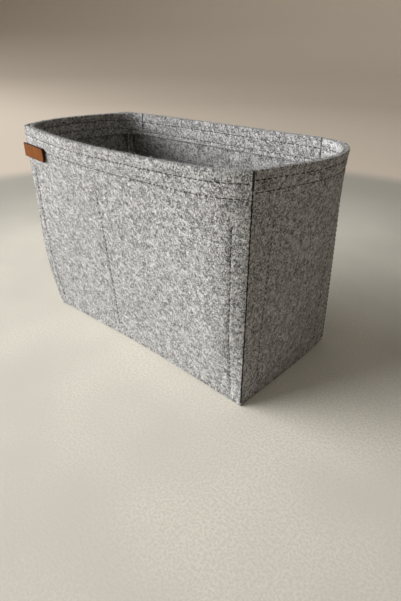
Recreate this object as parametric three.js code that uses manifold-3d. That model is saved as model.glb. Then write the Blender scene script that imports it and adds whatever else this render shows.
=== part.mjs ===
// Felt organizer insert for a purse: an open-topped box of thick grey felt that stands by itself.
// Four wall panels and a base are joined by turned seams, the rim is faced with a second felt strip,
// flat pockets are sewn to the inside of the walls, and a leather tag is caught in one corner seam.
// Millimetres, +Z up. +X runs along the long walls, the front wall faces -Y.

import * as THREE from 'three';
import { mergeVertices } from 'three/addons/utils/BufferGeometryUtils.js';
import Module from 'manifold-3d';

// Body, measured between the corner seams
const BODY_LENGTH = 218;
const BODY_WIDTH = 104;
const BODY_HEIGHT = 150;

// Felt, and the gap between two felt pieces that lie on each other
const WALL_FELT = 2.1;
const FACING_FELT = 2.1;
const POCKET_FELT = 1.8;
const BASE_FELT = 2.1;
const LAY_GAP = 0.3;

// How the soft walls stand: bow outward at the rim and at the foot, lean of an end's bow toward one
// corner, and sag of a long rim's middle
const FRONT_RIM_BOW = 11.2;
const FRONT_RIM_SAG = 2;
const BACK_RIM_BOW = 11.3;
const BACK_RIM_SAG = 1;
const RIGHT_RIM_BOW = 14.6;
const RIGHT_BOW_LEAN = 0.45;
const LEFT_RIM_BOW = 12.6;
const LEFT_BOW_LEAN = 0.4;
const LONG_FOOT_BOW = -2.5;
const END_FOOT_BOW = 1.5;
const BOW_GROWTH = 1.6;

// The bowed right end draws its corners in at the rim: along the length, and toward each other
const RIGHT_RIM_DRAW = 2.2;
const RIGHT_RIM_SQUEEZE = 3.2;

// The left end draws in toward its base seam
const LEFT_FOOT_TUCK = 15;
const TUCK_HEIGHT = 60;

// Corner seams: allowances turned inside along the diagonal and trimmed under the facing, folded edges outside
const SEAM_ALLOWANCE = 7;
const RIM_SEAM_ALLOWANCE = 4.8;
const TRIM_STEP = 0.6;
const SEAM_HALF_GAP = 0.2;
const FOLD_BEVEL = 1.3;
const FOLD_INNER_BEVEL = 0.35;
const CORNER_MARGIN = 0.8;

// Base seam: allowance of the base turned up inside the walls, rounded outer fold
const BASE_ALLOWANCE = 6;
const BASE_FOLD = 0.7;

// Rim facing: the strips of the ends turn the corners and lap onto the long walls
const FACING_WIDTH = 18;
const FACING_TURN = 17;
const FACING_LAP = 19;
const FACING_CLEARANCE = 0.8;

// Pockets: mouth below the rim, foot above the base seam, side edge from the corner seam, swell
const POCKET_MOUTH_DROP = 31;
const POCKET_SWELL = 9.5;
const SWELL_GROWTH = 0.7;
const LONG_POCKET_SIDE = 8;
const END_POCKET_SIDE = 15;
const FRONT_DIVIDER_X = -15;

// Leather tag, caught by one end in the front-left corner seam
const TAG_LENGTH = 34;
const TAG_HEIGHT = 10;
const TAG_THICKNESS = 1.8;
const TAG_CORNER_RADIUS = 2;
const TAG_EDGE_ROUND = 0.3;
const TAG_TOP_DROP = 12.5;
const TAG_OVERHANG = 0.6;
const TAG_STAND_OFF = 0.5;

// Facets
const LONG_STEPS = 18;
const END_STEPS = 12;
const WALL_ROWS = 9;
const RIM_ROWS = 2;
const FACING_ROWS = 2;
const TURN_STEPS = 6;
const POCKET_STEPS = 10;
const POCKET_ROWS = 6;
const ALLOWANCE_STEPS = 10;

const FELT_COLOUR = 0xb3b4b2;
const POCKET_COLOUR = 0xa6a7a6;
const LEATHER_COLOUR = 0x9c5a28;

const wasm = await Module();
wasm.setup();

const wallFoot = BASE_FELT + LAY_GAP;
const halfLength = BODY_LENGTH / 2;
const halfWidth = BODY_WIDTH / 2;
const seamReach = (SEAM_ALLOWANCE + WALL_FELT) / Math.SQRT2 + 2 * SEAM_HALF_GAP + CORNER_MARGIN;

function feltMaterial(colour) {
  return new THREE.MeshStandardMaterial({ color: colour, roughness: 0.95, metalness: 0 });
}

// How far the left end has drawn in at a height
function leftTuck(z) {
  const t = Math.max(0, 1 - z / TUCK_HEIGHT);
  return LEFT_FOOT_TUCK * t * t;
}

// How far up the wall a height is, from 0 at its foot to 1 at the rim
function climbAt(z) {
  const rise = (z - wallFoot) / (BODY_HEIGHT - wallFoot);
  return Math.min(1, Math.max(0, rise));
}

// How far the right corners have drawn in along the length, and toward each other
function rightDraw(z) {
  return RIGHT_RIM_DRAW * Math.pow(climbAt(z), BOW_GROWTH);
}

function rightSqueeze(z) {
  return RIGHT_RIM_SQUEEZE * Math.pow(climbAt(z), BOW_GROWTH);
}

function noTuck() {
  return 0;
}

// Each wall is drawn in its own frame: x along the wall, -y outward, untouched corners at y = 0.
// startTuck and endTuck shorten it where a corner draws in, startDepth and endDepth move its ends inward.
const frontWall = {
  half: halfLength, steps: LONG_STEPS, sag: FRONT_RIM_SAG,
  rimBow: FRONT_RIM_BOW, footBow: LONG_FOOT_BOW, lean: 0,
  startTuck: leftTuck, endTuck: rightDraw, startDepth: noTuck, endDepth: rightSqueeze,
};
const backWall = {
  half: halfLength, steps: LONG_STEPS, sag: BACK_RIM_SAG,
  rimBow: BACK_RIM_BOW, footBow: LONG_FOOT_BOW, lean: 0,
  startTuck: rightDraw, endTuck: leftTuck, startDepth: rightSqueeze, endDepth: noTuck,
};
const rightWall = {
  half: halfWidth, steps: END_STEPS, sag: 0,
  rimBow: RIGHT_RIM_BOW, footBow: END_FOOT_BOW, lean: RIGHT_BOW_LEAN,
  startTuck: rightSqueeze, endTuck: rightSqueeze, startDepth: rightDraw, endDepth: rightDraw,
};
const leftWall = {
  half: halfWidth, steps: END_STEPS, sag: 0,
  rimBow: LEFT_RIM_BOW, footBow: END_FOOT_BOW, lean: LEFT_BOW_LEAN,
  startTuck: noTuck, endTuck: noTuck, startDepth: leftTuck, endDepth: leftTuck,
};

// The line of a wall at one height: its ends, their depths, its tilt and its bow
function wallLine(wall, z) {
  const climb = climbAt(z);
  const start = -wall.half + wall.startTuck(z);
  const end = wall.half - wall.endTuck(z);
  const span = end - start;
  const startDepth = wall.startDepth(z);
  const endDepth = wall.endDepth(z);
  const tilt = (endDepth - startDepth) / span;
  const bow = wall.footBow * (1 - climb) * (1 - climb) + wall.rimBow * Math.pow(climb, BOW_GROWTH);
  return { start, end, span, startDepth, endDepth, tilt, bow, lean: wall.lean };
}

// The slope of the wall's line in plan, at a place from -1 at its start to 1 at its end
function slopeAt(line, s) {
  return line.tilt + ((2 * line.bow) / line.span) * (2 * s - line.lean * (1 - 3 * s * s));
}

// A point of the wall's outer face moved inward by an offset, square to the bowed line
function wallPoint(line, x, offset) {
  const s = (2 * x - line.start - line.end) / line.span;
  const slope = slopeAt(line, s);
  const size = Math.hypot(slope, 1);
  const chord = line.startDepth + line.tilt * (x - line.start);
  const y = chord - line.bow * (1 - s * s) * (1 + line.lean * s);
  return new THREE.Vector2(x - (offset * slope) / size, y + offset / size);
}

// How far the rim has sagged at a place along the wall
function rimSag(wall, x) {
  const s = x / wall.half;
  return wall.sag * Math.max(0, 1 - s * s);
}

// The folded edge of a wall at a corner: distance along the wall, then depth inward.
// The wall leaves the seam at an outward slope, its allowance runs inward on the diagonal.
function cornerFold(slope, allowance) {
  const size = Math.hypot(slope, 1);
  const along = new THREE.Vector2(1 / size, -slope / size);
  const inward = new THREE.Vector2(slope / size, 1 / size);
  const diagonal = new THREE.Vector2(Math.SQRT1_2, Math.SQRT1_2);
  const aside = new THREE.Vector2(Math.SQRT1_2, -Math.SQRT1_2);
  const meet = (depth, gap) => {
    const det = inward.x * aside.y - inward.y * aside.x;
    const x = (depth * aside.y - gap * inward.y) / det;
    const y = (inward.x * gap - aside.x * depth) / det;
    return new THREE.Vector2(x, y);
  };
  const outerCorner = meet(0, SEAM_HALF_GAP);
  const innerCorner = meet(WALL_FELT, SEAM_HALF_GAP + WALL_FELT);
  const tip = outerCorner.clone().addScaledVector(diagonal, allowance);
  return {
    outer: [
      tip,
      outerCorner.clone().addScaledVector(diagonal, FOLD_BEVEL),
      outerCorner.clone().addScaledVector(along, FOLD_BEVEL),
    ],
    inner: [
      tip.clone().addScaledVector(aside, WALL_FELT),
      innerCorner.clone().addScaledVector(diagonal, FOLD_INNER_BEVEL),
      innerCorner.clone().addScaledVector(along, FOLD_INNER_BEVEL),
    ],
  };
}

// A felt sheet from a grid of points on its two faces, closed round its four edges.
// Row by row from the bottom, each row from one side to the other.
function sheetGeometry(outerRows, innerRows) {
  const rows = outerRows.length;
  const columns = outerRows[0].length;
  const positions = [];
  for (const face of [outerRows, innerRows]) {
    for (const row of face) {
      for (const p of row) {
        positions.push(p.x, p.y, p.z);
      }
    }
  }
  const outer = (i, j) => j * columns + i;
  const inner = (i, j) => rows * columns + j * columns + i;
  const index = [];
  const quad = (a, b, c, d) => index.push(a, b, c, a, c, d);
  for (let j = 0; j + 1 < rows; j += 1) {
    for (let i = 0; i + 1 < columns; i += 1) {
      quad(outer(i, j), outer(i + 1, j), outer(i + 1, j + 1), outer(i, j + 1));
      quad(inner(i, j), inner(i, j + 1), inner(i + 1, j + 1), inner(i + 1, j));
    }
    quad(outer(0, j), outer(0, j + 1), inner(0, j + 1), inner(0, j));
    const last = columns - 1;
    quad(outer(last, j), inner(last, j), inner(last, j + 1), outer(last, j + 1));
  }
  const top = rows - 1;
  for (let i = 0; i + 1 < columns; i += 1) {
    quad(outer(i, 0), inner(i, 0), inner(i + 1, 0), outer(i + 1, 0));
    quad(outer(i, top), outer(i + 1, top), inner(i + 1, top), inner(i, top));
  }
  const geometry = new THREE.BufferGeometry();
  geometry.setAttribute('position', new THREE.Float32BufferAttribute(positions, 3));
  geometry.setIndex(index);
  geometry.computeVertexNormals();
  return geometry;
}

function lift(points, heightOf) {
  return points.map((p) => new THREE.Vector3(p.x, p.y, heightOf(p)));
}

// Evenly spaced values from one end to the other
function spread(from, to, steps) {
  return Array.from({ length: steps + 1 }, (_, i) => from + ((to - from) * i) / steps);
}

// From distance along and depth at one of a wall's corners to the wall's frame
function fromStart(line, p) {
  return new THREE.Vector2(line.start + p.x, line.startDepth + p.y);
}

function fromEnd(line, p) {
  return new THREE.Vector2(line.end - p.x, line.endDepth + p.y);
}

// A wall panel with its seam allowances turned inside at both corners, trimmed behind the facing
function wallPanel(wall) {
  const trimmed = BODY_HEIGHT - FACING_WIDTH - LAY_GAP;
  const heights = [
    ...spread(0, 1, WALL_ROWS).map((t) => wallFoot + (trimmed - TRIM_STEP - wallFoot) * Math.pow(t, 1.25)),
    ...spread(trimmed, BODY_HEIGHT, RIM_ROWS),
  ];
  const outerRows = [];
  const innerRows = [];
  for (const z of heights) {
    const line = wallLine(wall, z);
    const allowance = z < trimmed ? SEAM_ALLOWANCE : RIM_SEAM_ALLOWANCE;
    const first = cornerFold(-slopeAt(line, -1), allowance);
    const last = cornerFold(slopeAt(line, 1), allowance);
    const xs = spread(line.start + seamReach, line.end - seamReach, wall.steps);
    const trace = (face, offset) => [
      ...first[face].map((p) => fromStart(line, p)),
      ...xs.map((x) => wallPoint(line, x, offset)),
      ...last[face].map((p) => fromEnd(line, p)).reverse(),
    ];
    const heightOf = (p) => z - rimSag(wall, p.x) * climbAt(z);
    outerRows.push(lift(trace('outer', 0), heightOf));
    innerRows.push(lift(trace('inner', WALL_FELT), heightOf));
  }
  return sheetGeometry(outerRows, innerRows);
}

// A strip of felt that lies against the inside of a wall between two heights, ending short of the corners
function wallStrip(wall, low, high, rows, steps, felt, reach, sagging) {
  const outerRows = [];
  const innerRows = [];
  for (const z of spread(low, high, rows)) {
    const line = wallLine(wall, z);
    const xs = spread(line.start + reach, line.end - reach, steps);
    const heightOf = (p) => z - (sagging ? rimSag(wall, p.x) : 0);
    const near = WALL_FELT + LAY_GAP;
    outerRows.push(lift(xs.map((x) => wallPoint(line, x, near)), heightOf));
    innerRows.push(lift(xs.map((x) => wallPoint(line, x, near + felt)), heightOf));
  }
  return sheetGeometry(outerRows, innerRows);
}

// The second felt layer inside a long rim, between the laps of the end facings
function longFacing(wall) {
  const low = BODY_HEIGHT - FACING_WIDTH;
  const reach = FACING_LAP + 2 * LAY_GAP;
  return wallStrip(wall, low, BODY_HEIGHT, FACING_ROWS, wall.steps, FACING_FELT, reach, true);
}

// The end of a facing at one corner, from its lap on the long wall round the seam to the end wall.
// onLong and onEnd give places by distance from the corner, sagOf the long rim's sag there.
function facingTurn(onLong, onEnd, sagOf) {
  const step = 0.1;
  const from = onLong(FACING_TURN);
  const to = onEnd(FACING_TURN);
  const fromRun = from.clone().sub(onLong(FACING_TURN + step));
  const toRun = to.clone().sub(onEnd(FACING_TURN + step));
  const between = to.clone().sub(from);
  const share = between.cross(toRun) / fromRun.cross(toRun);
  const bend = from.clone().addScaledVector(fromRun, share).addScalar(FACING_CLEARANCE);
  const curve = new THREE.QuadraticBezierCurve(from, bend, to).getPoints(TURN_STEPS);
  return [
    { point: onLong(FACING_LAP), sag: sagOf(FACING_LAP) },
    ...curve.map((point, i) => ({ point, sag: sagOf(FACING_TURN) * (1 - i / TURN_STEPS) })),
  ];
}

// The second felt layer inside an end's rim, lapped onto the long walls before and after it
function endFacing(wall, before, after) {
  const outerRows = [];
  const innerRows = [];
  for (const z of spread(BODY_HEIGHT - FACING_WIDTH, BODY_HEIGHT, FACING_ROWS)) {
    const line = wallLine(wall, z);
    const past = wallLine(before, z);
    const next = wallLine(after, z);
    const trace = (offset) => {
      const first = facingTurn(
        (u) => {
          const p = wallPoint(past, past.end - u, offset);
          return new THREE.Vector2(p.y - past.endDepth, past.end - p.x);
        },
        (u) => {
          const p = wallPoint(line, line.start + u, offset);
          return new THREE.Vector2(p.x - line.start, p.y - line.startDepth);
        },
        (u) => rimSag(before, past.end - u),
      ).map(({ point, sag }) => ({ point: fromStart(line, point), sag }));
      const last = facingTurn(
        (u) => {
          const p = wallPoint(next, next.start + u, offset);
          return new THREE.Vector2(p.y - next.startDepth, p.x - next.start);
        },
        (u) => {
          const p = wallPoint(line, line.end - u, offset);
          return new THREE.Vector2(line.end - p.x, p.y - line.endDepth);
        },
        (u) => rimSag(after, next.start + u),
      ).map(({ point, sag }) => ({ point: fromEnd(line, point), sag }));
      const middle = spread(line.start + FACING_TURN, line.end - FACING_TURN, wall.steps).slice(1, -1);
      const run = middle.map((x) => ({ point: wallPoint(line, x, offset), sag: 0 }));
      return [...first, ...run, ...last.reverse()].map(
        ({ point, sag }) => new THREE.Vector3(point.x, point.y, z - sag),
      );
    };
    const near = WALL_FELT + LAY_GAP;
    outerRows.push(trace(near));
    innerRows.push(trace(near + FACING_FELT));
  }
  return sheetGeometry(outerRows, innerRows);
}

// A pocket sheet sewn down at its sides, foot and dividers, and standing off the wall between them
function pocketSheet(wall, side, dividers) {
  const low = BASE_FELT + BASE_ALLOWANCE + LAY_GAP;
  const high = BODY_HEIGHT - POCKET_MOUTH_DROP;
  const outerRows = [];
  const innerRows = [];
  spread(low, high, POCKET_ROWS).forEach((z, j) => {
    const line = wallLine(wall, z);
    const seams = [line.start + side, ...dividers, line.end - side];
    const opening = POCKET_SWELL * Math.pow(j / POCKET_ROWS, SWELL_GROWTH);
    const outer = [];
    const inner = [];
    for (let k = 0; k + 1 < seams.length; k += 1) {
      const places = spread(-1, 1, POCKET_STEPS).slice(k === 0 ? 0 : 1);
      for (const s of places) {
        const x = seams[k] + ((s + 1) / 2) * (seams[k + 1] - seams[k]);
        const near = WALL_FELT + LAY_GAP + opening * (1 - s * s);
        outer.push(wallPoint(line, x, near));
        inner.push(wallPoint(line, x, near + POCKET_FELT));
      }
    }
    outerRows.push(lift(outer, () => z));
    innerRows.push(lift(inner, () => z));
  });
  return sheetGeometry(outerRows, innerRows);
}

// Where each wall stands: its frame is turned about +Z and set out from the middle
const stations = [
  { key: 'front', wall: frontWall, turn: 0, x: 0, y: -halfWidth },
  { key: 'right_end', wall: rightWall, turn: Math.PI / 2, x: halfLength, y: 0 },
  { key: 'back', wall: backWall, turn: Math.PI, x: 0, y: halfWidth },
  { key: 'left_end', wall: leftWall, turn: -Math.PI / 2, x: -halfLength, y: 0 },
];

function stationMatrix(station) {
  const turn = new THREE.Matrix4().makeRotationZ(station.turn);
  turn.setPosition(station.x, station.y, 0);
  return turn;
}

function toSolid(geometry) {
  const bare = geometry.clone();
  bare.deleteAttribute('normal');
  bare.deleteAttribute('uv');
  const merged = mergeVertices(bare, 1e-4);
  return new wasm.Manifold(new wasm.Mesh({
    numProp: 3,
    vertProperties: new Float32Array(merged.attributes.position.array),
    triVerts: new Uint32Array(merged.index.array),
  }));
}

function fromSolid(solid) {
  const mesh = solid.getMesh();
  const geometry = new THREE.BufferGeometry();
  geometry.setAttribute('position', new THREE.Float32BufferAttribute(mesh.vertProperties, 3));
  geometry.setIndex(Array.from(mesh.triVerts));
  geometry.computeVertexNormals();
  return geometry;
}

// The base: a flat sheet under the wall feet with a rounded fold, and its allowances turned up inside
function basePanel() {
  const outline = [];
  for (const station of stations) {
    const place = stationMatrix(station);
    const line = wallLine(station.wall, wallFoot);
    for (const x of spread(line.start, line.end, station.wall.steps).slice(0, -1)) {
      const p = wallPoint(line, x, 0);
      const q = new THREE.Vector3(p.x, p.y, 0).applyMatrix4(place);
      outline.push(new THREE.Vector2(q.x, q.y));
    }
  }
  const sheet = new THREE.ExtrudeGeometry(new THREE.Shape(outline), {
    depth: BASE_FELT - 2 * BASE_FOLD,
    bevelEnabled: true,
    bevelThickness: BASE_FOLD,
    bevelSize: BASE_FOLD,
    bevelOffset: -BASE_FOLD,
    bevelSegments: 2,
  });
  sheet.translate(0, 0, BASE_FOLD);
  let solid = toSolid(sheet);
  for (const station of stations) {
    const top = BASE_FELT + BASE_ALLOWANCE;
    const strip = wallStrip(station.wall, BASE_FELT / 2, top, 1, ALLOWANCE_STEPS, BASE_FELT, seamReach, false);
    strip.applyMatrix4(stationMatrix(station));
    solid = solid.add(toSolid(strip));
  }
  return fromSolid(solid);
}

// The tag: square where the seam holds it, rounded at its free end
function tagGeometry() {
  const half = TAG_HEIGHT / 2;
  const r = TAG_CORNER_RADIUS;
  const shape = new THREE.Shape();
  shape.moveTo(0, -half);
  shape.lineTo(TAG_LENGTH - r, -half);
  shape.absarc(TAG_LENGTH - r, -half + r, r, -Math.PI / 2, 0, false);
  shape.lineTo(TAG_LENGTH, half - r);
  shape.absarc(TAG_LENGTH - r, half - r, r, 0, Math.PI / 2, false);
  shape.lineTo(0, half);
  shape.closePath();
  const geometry = new THREE.ExtrudeGeometry(shape, {
    depth: TAG_THICKNESS - 2 * TAG_EDGE_ROUND,
    bevelEnabled: true,
    bevelThickness: TAG_EDGE_ROUND,
    bevelSize: TAG_EDGE_ROUND,
    bevelOffset: -TAG_EDGE_ROUND,
    bevelSegments: 1,
    curveSegments: 6,
  });
  geometry.translate(0, 0, TAG_EDGE_ROUND);
  return geometry;
}

// The tag lies along the front wall's face from the corner seam, turned to the bow of the wall there
function tagOnWall(material) {
  const z = BODY_HEIGHT - TAG_TOP_DROP - TAG_HEIGHT / 2;
  const line = wallLine(frontWall, z);
  const root = wallPoint(line, line.start, 0);
  const far = wallPoint(line, line.start + TAG_LENGTH - TAG_OVERHANG, 0);
  const run = far.clone().sub(root).normalize();
  const outward = new THREE.Vector2(run.y, -run.x);
  const pivot = new THREE.Group();
  const at = root.clone().addScaledVector(run, -TAG_OVERHANG).addScaledVector(outward, TAG_STAND_OFF);
  pivot.position.set(at.x, at.y - halfWidth, z);
  pivot.rotation.z = Math.atan2(run.y, run.x);
  const tag = new THREE.Mesh(tagGeometry(), material);
  tag.name = 'leather_tag';
  tag.rotation.x = Math.PI / 2;
  pivot.add(tag);
  return pivot;
}

const organizer = new THREE.Group();

function addPiece(parent, name, geometry, colour) {
  const mesh = new THREE.Mesh(geometry, feltMaterial(colour));
  mesh.name = name;
  parent.add(mesh);
}

stations.forEach((station, i) => {
  const side = new THREE.Group();
  side.position.set(station.x, station.y, 0);
  side.rotation.z = station.turn;
  const isLong = station.wall.steps === LONG_STEPS;
  const dividers = station.key === 'front' ? [FRONT_DIVIDER_X] : [];
  const pocketSide = isLong ? LONG_POCKET_SIDE : END_POCKET_SIDE;
  addPiece(side, `${station.key}_panel`, wallPanel(station.wall), FELT_COLOUR);
  const before = stations[(i + 3) % 4].wall;
  const after = stations[(i + 1) % 4].wall;
  const facing = isLong ? longFacing(station.wall) : endFacing(station.wall, before, after);
  addPiece(side, `${station.key}_rim_facing`, facing, FELT_COLOUR);
  addPiece(side, `${station.key}_pocket`, pocketSheet(station.wall, pocketSide, dividers), POCKET_COLOUR);
  organizer.add(side);
});
addPiece(organizer, 'base_panel', basePanel(), FELT_COLOUR);
organizer.add(tagOnWall(new THREE.MeshStandardMaterial({
  color: LEATHER_COLOUR, roughness: 0.6, metalness: 0,
})));

export default organizer;
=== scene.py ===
"""Looks of a grey felt purse organizer insert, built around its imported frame.

Lengths in the shape code are millimetres, in the same frame as the solids; meshes are made in metres.
"""

import math
from types import SimpleNamespace

import bmesh
import bpy
import numpy as np
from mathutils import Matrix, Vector


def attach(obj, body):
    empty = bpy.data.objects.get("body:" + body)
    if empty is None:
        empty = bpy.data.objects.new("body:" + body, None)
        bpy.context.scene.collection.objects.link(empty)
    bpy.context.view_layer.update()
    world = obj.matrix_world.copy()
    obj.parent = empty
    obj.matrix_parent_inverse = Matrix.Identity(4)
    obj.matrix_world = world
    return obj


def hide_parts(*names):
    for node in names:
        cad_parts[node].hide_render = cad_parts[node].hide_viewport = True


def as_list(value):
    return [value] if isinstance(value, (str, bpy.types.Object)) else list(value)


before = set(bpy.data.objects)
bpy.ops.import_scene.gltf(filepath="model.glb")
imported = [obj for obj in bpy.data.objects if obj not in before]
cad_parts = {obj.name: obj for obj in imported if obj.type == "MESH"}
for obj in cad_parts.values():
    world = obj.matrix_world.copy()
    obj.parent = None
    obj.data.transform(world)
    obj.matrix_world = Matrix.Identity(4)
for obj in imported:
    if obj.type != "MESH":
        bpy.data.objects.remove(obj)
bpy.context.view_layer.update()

MM = 0.001
rng = np.random.default_rng(41)

# Body, felt and stance
LENGTH, WIDTH, HEIGHT = 218.0, 104.0, 150.0
HALF_LENGTH, HALF_WIDTH = LENGTH / 2, WIDTH / 2
WALL_FELT, FACING_FELT, POCKET_FELT, BASE_FELT = 2.1, 2.1, 1.8, 2.1
LAY_GAP = 0.3
FOOT = BASE_FELT + LAY_GAP
FRONT_RIM_BOW, FRONT_RIM_SAG = 11.2, 2.0
BACK_RIM_BOW, BACK_RIM_SAG = 11.3, 1.0
RIGHT_RIM_BOW, RIGHT_BOW_LEAN = 14.6, 0.45
LEFT_RIM_BOW, LEFT_BOW_LEAN = 12.6, 0.4
LONG_FOOT_BOW, END_FOOT_BOW = -2.5, 1.5
BOW_GROWTH = 1.6
RIGHT_RIM_DRAW, RIGHT_RIM_SQUEEZE = 2.2, 3.2
LEFT_FOOT_TUCK, TUCK_HEIGHT = 15.0, 60.0

# Corner seams: allowances turned inside and trimmed behind the facing
SEAM_ALLOWANCE, RIM_SEAM_ALLOWANCE = 7.0, 3.8
SEAM_HALF_GAP = 0.2
CORNER_MARGIN = 0.8
SEAM_REACH = (SEAM_ALLOWANCE + WALL_FELT) / math.sqrt(2) + 2 * SEAM_HALF_GAP + CORNER_MARGIN
FOLD_RADIUS, INNER_FOLD_RADIUS = 0.3, 0.25
FOLD_POINTS = 7
# Distances from a corner at which a wall's outer face and its inner face start beside the folds
FACE_LEAD, LINING_LEAD = 2.0, 6.5

# The long walls roll out beside the drawn-in right corners, and hardly at all at the foot
CORNER_ROLL, ROLL_REACH = 5.2, 21.0
FOOT_ROLL, FOOT_ROLL_HEIGHT = 0.12, 60.0

# Unevenness of the felt: the heights of three waves, and the lengths in which each runs one radian
LONG_WAVE, LONG_WAVE_ALONG, LONG_WAVE_UP = 0.22, 17.0, 23.0
SHORT_WAVE, SHORT_WAVE_ALONG, SHORT_WAVE_UP = 0.16, 7.3, 9.1
FINE_WAVE, FINE_WAVE_LENGTH = 0.1, 4.3
WAVE_FADE = 12.0
# Each wall has its own phase, a pocket's is further on, and the waves shift by multiples of it
FIRST_PHASE, POCKET_PHASE = 0.7, 2.2
LONG_WAVE_SHIFT, SHORT_WAVE_SHIFT, FINE_WAVE_SHIFT = 1.7, 2.1, 3.0

# Base, facings and pockets. An end facing turns its corners, and its outer face turns tighter, to fill them
BASE_ALLOWANCE = 6.0
FACING_WIDTH = 18.0
FACING_TURN, FACING_LAP, FACING_CLEARANCE = 17.0, 19.0, 0.8
FACING_CORNER_TURN = 9.0
FACING_WAVE = 0.2
TRIM_HEIGHT = HEIGHT - FACING_WIDTH - LAY_GAP
TRIM_STEP = 0.6
FACING_GAP = 0.12
FACING_NEAR = WALL_FELT + FACING_GAP
POCKET_MOUTH_DROP = 31.0
POCKET_TOP = HEIGHT - POCKET_MOUTH_DROP
POCKET_FOOT = BASE_FELT + BASE_ALLOWANCE + LAY_GAP
POCKET_SWELL, SWELL_GROWTH = 9.5, 0.7
LONG_POCKET_SIDE, END_POCKET_SIDE = 8.0, 15.0
FRONT_DIVIDER_X = -15.0

# Thread
STITCH_PITCH, STITCH_GAP, STITCH_DRIFT = 3.5, 0.6, 0.12
THREAD_RADIUS = 0.27
THREAD_THINNEST, THREAD_THICKEST = 0.92, 1.08
GROOVE_DEPTH, FACING_GROOVE_DEPTH, GROOVE_WIDTH = 0.5, 0.4, 1.0
POCKET_GROOVE_RISE, POCKET_GROOVE_FADE = 3.0, 0.8
LONG_RIM_ROWS = (6.6, 14.6)
END_RIM_ROWS = (5.2, 11.6)
ROW_SHIFT_START, ROW_SHIFT_RUN = 4.0, 28.0
POCKET_SEAM, POCKET_ROW_RISE, POCKET_ROW_OVERRUN = 1.0, 6.0, 1.0
CORNER_THREAD_DEPTH, CORNER_THREAD_RADIUS = 0.7, 0.4
CORNER_ROW_DROP = 1.0
HEAVY_THREAD_DEPTH, HEAVY_THREAD_RADIUS = 0.3, 0.46
TACK_LENGTH, TACK_OVERRUN, TACK_RADIUS = 10.0, 0.8, 0.62
# Walls whose end corner is sewn with the heavy thread and tacked at the rim
TACKED = ("front", "right_end")

# Loose fibres along the rims
FIBRES_PER_MM, FIBRE_RADIUS = 2.4, 0.06
FIBRE_SHORT, FIBRE_LONG = 0.6, 1.7
FIBRE_LEAN, FIBRE_CURL = 0.7, 0.35
FIBRE_LOW_RISE, FIBRE_HIGH_RISE = 0.2, 1.0
FIBRE_RUN = np.array([-0.2, 0.5, 1.0])
FIBRE_TAPER = np.array([1.0, 0.8, 0.3])

# Tag
TAG_LENGTH, TAG_HEIGHT, TAG_THICKNESS = 34.0, 10.0, 1.8
TAG_CORNER_RADIUS, TAG_CORNER_STEPS = 2.0, 8
TAG_TOP_DROP = 12.5
TAG_OVERHANG = 0.6
TAG_STAND_OFF = 0.5


# Walls


def climb_at(z):
    """How far up the wall a height is, from 0 at its foot to 1 at the rim."""
    return np.clip((z - FOOT) / (HEIGHT - FOOT), 0, 1)


def left_tuck(z):
    return LEFT_FOOT_TUCK * np.clip(1 - z / TUCK_HEIGHT, 0, None) ** 2


def right_draw(z):
    return RIGHT_RIM_DRAW * climb_at(z) ** BOW_GROWTH


def right_squeeze(z):
    return RIGHT_RIM_SQUEEZE * climb_at(z) ** BOW_GROWTH


def no_tuck(z):
    return 0.0 * z


def smooth(t):
    t = np.clip(t, 0, 1)
    return t**2 * (3 - 2 * t)


def roll_strength(z):
    """How much of the corner roll a height has."""
    return CORNER_ROLL * (FOOT_ROLL + (1 - FOOT_ROLL) * smooth(z / FOOT_ROLL_HEIGHT))


def roll_out(away):
    """The roll's outward swell, and its slope, at a distance from the corner, for a strength of 1."""
    t = np.maximum(away, 0) / ROLL_REACH
    fall = np.exp(1 - t)
    return t * fall, (1 - t) * fall / ROLL_REACH


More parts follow.
